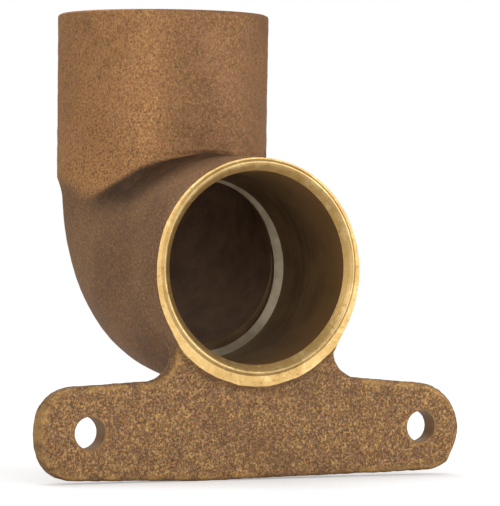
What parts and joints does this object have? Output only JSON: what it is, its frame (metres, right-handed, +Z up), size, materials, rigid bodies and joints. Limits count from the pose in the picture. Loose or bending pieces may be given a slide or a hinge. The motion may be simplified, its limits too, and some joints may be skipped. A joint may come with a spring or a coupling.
{
  "type": "drop ear elbow",
  "caption": "Cast copper-alloy right-angle pipe elbow with a solder cup at each end and a flat two-hole mounting plate level with its outlet.",
  "frame": {"origin": "on the ear plate's back face, in the outlet's vertical mid plane, level with the two screw holes", "axes": "+Z up along the riser, outlet faces -Y, +Y out of the ear plate's back face, +X to the right of someone looking into the outlet"},
  "size_m": [0.0549, 0.0406, 0.0557],
  "materials": {
    "cast_bronze": "sand-cast skin, brown with golden grain",
    "machined_brass": "turned, bright golden yellow"
  },
  "bodies": {
    "root": {"bend_body": "cast_bronze", "riser_socket": "cast_bronze", "outlet_socket": "machined_brass", "ear_plate": "cast_bronze"}
  },
  "joints": []
}
